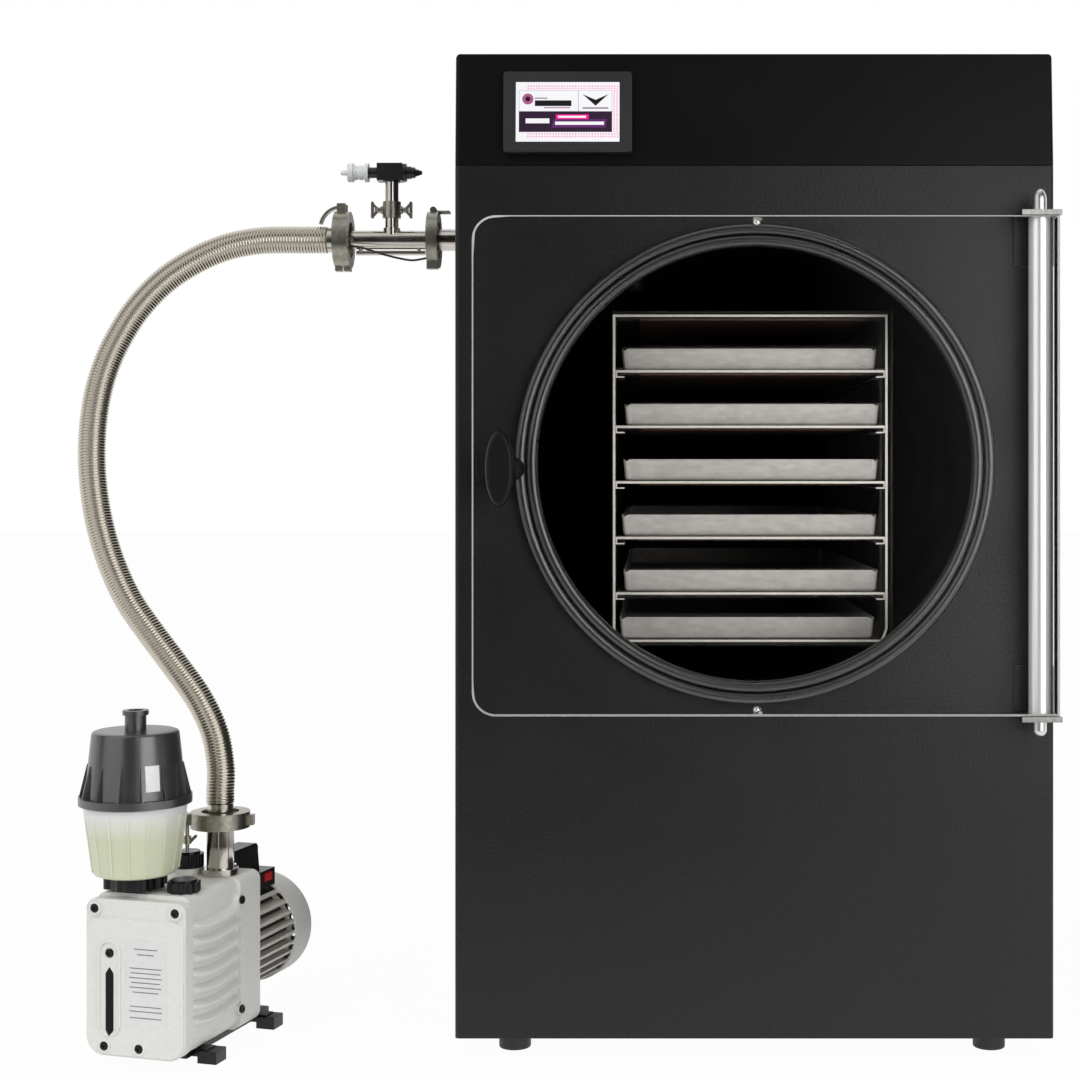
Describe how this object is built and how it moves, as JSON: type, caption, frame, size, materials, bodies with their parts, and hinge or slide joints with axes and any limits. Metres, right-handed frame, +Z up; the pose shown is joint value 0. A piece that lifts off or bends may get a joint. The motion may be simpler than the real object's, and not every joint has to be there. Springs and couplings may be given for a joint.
{
  "type": "freeze dryer",
  "caption": "Tall floor-standing freeze dryer with a clear door on a round vacuum chamber, stacked trays, and a rotary vane vacuum pump with an oil mist filter on a bellows hose.",
  "frame": {"origin": "on the floor, at the centre of the footprint of the cabinet and the pump together, measured without the hose and the earth lead", "axes": "+Z up, -Y towards the person who stands at the door, +X to their right, where the cabinet stands; the pump stands on the -X side"},
  "size_m": [0.8655, 0.7148, 0.864],
  "materials": {
    "cabinet_paint": "fine textured powder coat, satin",
    "band_paint": "smooth satin paint",
    "galvanised_steel": "plain sheet",
    "foot_rubber": "matte",
    "display_plastic": "satin",
    "display_screen": "gloss",
    "chamber_black": "satin",
    "foam": "closed-cell foam",
    "seal_rubber": "satin",
    "rack_steel": "satin",
    "heater_silicone": "satin",
    "tray_steel": "brushed along X",
    "compressor_paint": "satin",
    "condenser_fins": "fine fins",
    "fan_plastic": "satin",
    "clear_acrylic": "polished",
    "hinge_steel": "polished",
    "knob_plastic": "gloss",
    "line_steel": "polished",
    "clamp_steel": "satin",
    "valve_black": "satin",
    "filter_white": "satin",
    "hose_steel": "polished, corrugated",
    "lead_rubber": "satin",
    "pump_casting": "satin paint on a casting",
    "pump_black": "satin",
    "sight_black": "gloss",
    "switch_red": "gloss",
    "bowl_plastic": "translucent",
    "dome_plastic": "satin"
  },
  "bodies": {
    "cabinet": {"cabinet_wrap": "cabinet_paint", "front_panel": "cabinet_paint", "control_fascia": "band_paint", "back_panel": "cabinet_paint", "base_frame": "galvanised_steel", "cabinet_feet": "foot_rubber", "display_housing": "display_plastic", "display_glass": "display_screen", "chamber_drum": "chamber_black", "chamber_insulation": "foam", "door_gasket": "seal_rubber", "rack_frame": "rack_steel", "shelves": "rack_steel", "heater_pads": "heater_silicone", "tray_1": "tray_steel", "tray_2": "tray_steel", "tray_3": "tray_steel", "tray_4": "tray_steel", "tray_5": "tray_steel", "tray_6": "tray_steel", "compressor": "compressor_paint", "condenser": "condenser_fins", "fan_motor": "fan_plastic", "hinge_rod": "hinge_steel", "hinge_brackets": "hinge_steel", "latch_keeper": "cabinet_paint", "vacuum_port": "line_steel", "manifold_tee": "line_steel", "port_clamp": "clamp_steel", "branch_clamp": "clamp_steel", "hose_clamp": "clamp_steel", "vent_valve": "valve_black", "vent_filter": "filter_white", "hose_ends": "line_steel", "bellows_hose": "hose_steel", "earth_lead": "lead_rubber", "inlet_pipe": "line_steel", "pump_clamp": "clamp_steel", "oil_box": "pump_casting", "oil_cover": "pump_casting", "sight_glass": "sight_black", "motor_housing": "pump_casting", "fan_cover": "pump_casting", "carry_handle": "pump_black", "pump_base": "pump_black", "filter_nut": "pump_black", "filter_bowl": "bowl_plastic", "filter_dome": "dome_plastic"},
    "door": {"door_glass": "clear_acrylic"},
    "latch": {"door_knob": "knob_plastic", "latch_cam": "clamp_steel"},
    "bail": {"clamp_bail": "clamp_steel"},
    "left_screw": {"branch_screw_left": "clamp_steel"},
    "right_screw": {"branch_screw_right": "clamp_steel"},
    "fan": {"fan_rotor": "fan_plastic"},
    "motor_rotor": {"motor_fan": "fan_plastic"},
    "oil_filler_cap": {"oil_cap": "pump_black"},
    "gas_ballast": {"ballast_knob": "pump_black"},
    "inlet_wing_nut": {"pump_wing_nut": "clamp_steel"},
    "switch": {"power_switch": "switch_red"}
  },
  "joints": [
    {"name": "door_hinge", "type": "hinge", "parent": "cabinet", "child": "door", "pos_m": [0.399, -0.3258, 0.5], "axis": [0, 0, 1], "range_deg": [0, 170]},
    {"name": "latch_turn", "type": "hinge", "parent": "door", "child": "latch", "pos_m": [-0.0546, -0.33, 0.5066], "axis": [0, 1, 0], "range_deg": [0, 90]},
    {"name": "bail_swing", "type": "hinge", "parent": "cabinet", "child": "bail", "pos_m": [-0.2132, -0.18, 0.7484], "axis": [0, 1, 0], "range_deg": [0, 100]},
    {"name": "left_screw_turn", "type": "hinge", "parent": "cabinet", "child": "left_screw", "pos_m": [-0.1775, -0.18, 0.7456], "axis": [1, 0, 0], "continuous": true},
    {"name": "right_screw_turn", "type": "hinge", "parent": "cabinet", "child": "right_screw", "pos_m": [-0.1575, -0.18, 0.7456], "axis": [1, 0, 0], "continuous": true},
    {"name": "fan_spin", "type": "hinge", "parent": "cabinet", "child": "fan", "pos_m": [0.27, 0.318, 0.1158], "axis": [0, 1, 0], "continuous": true},
    {"name": "motor_fan_spin", "type": "hinge", "parent": "cabinet", "child": "motor_rotor", "pos_m": [-0.30305, -0.13293, 0.075], "axis": [0.2756, 0.9613, 0], "continuous": true},
    {"name": "oil_cap_turn", "type": "hinge", "parent": "cabinet", "child": "oil_filler_cap", "pos_m": [-0.32575, -0.31367, 0.147], "axis": [0, 0, 1], "continuous": true},
    {"name": "ballast_turn", "type": "hinge", "parent": "cabinet", "child": "gas_ballast", "pos_m": [-0.34127, -0.23536, 0.155], "axis": [0, 0, 1], "range_deg": [0, 90]},
    {"name": "inlet_wing_nut_turn", "type": "hinge", "parent": "cabinet", "child": "inlet_wing_nut", "pos_m": [-0.3405, -0.243, 0.174], "axis": [0, 0, 1], "continuous": true},
    {"name": "switch_rock", "type": "hinge", "parent": "cabinet", "child": "switch", "pos_m": [-0.28542, -0.16503, 0.1285], "axis": [0, 0, 1], "range_deg": [-8, 8]}
  ]
}
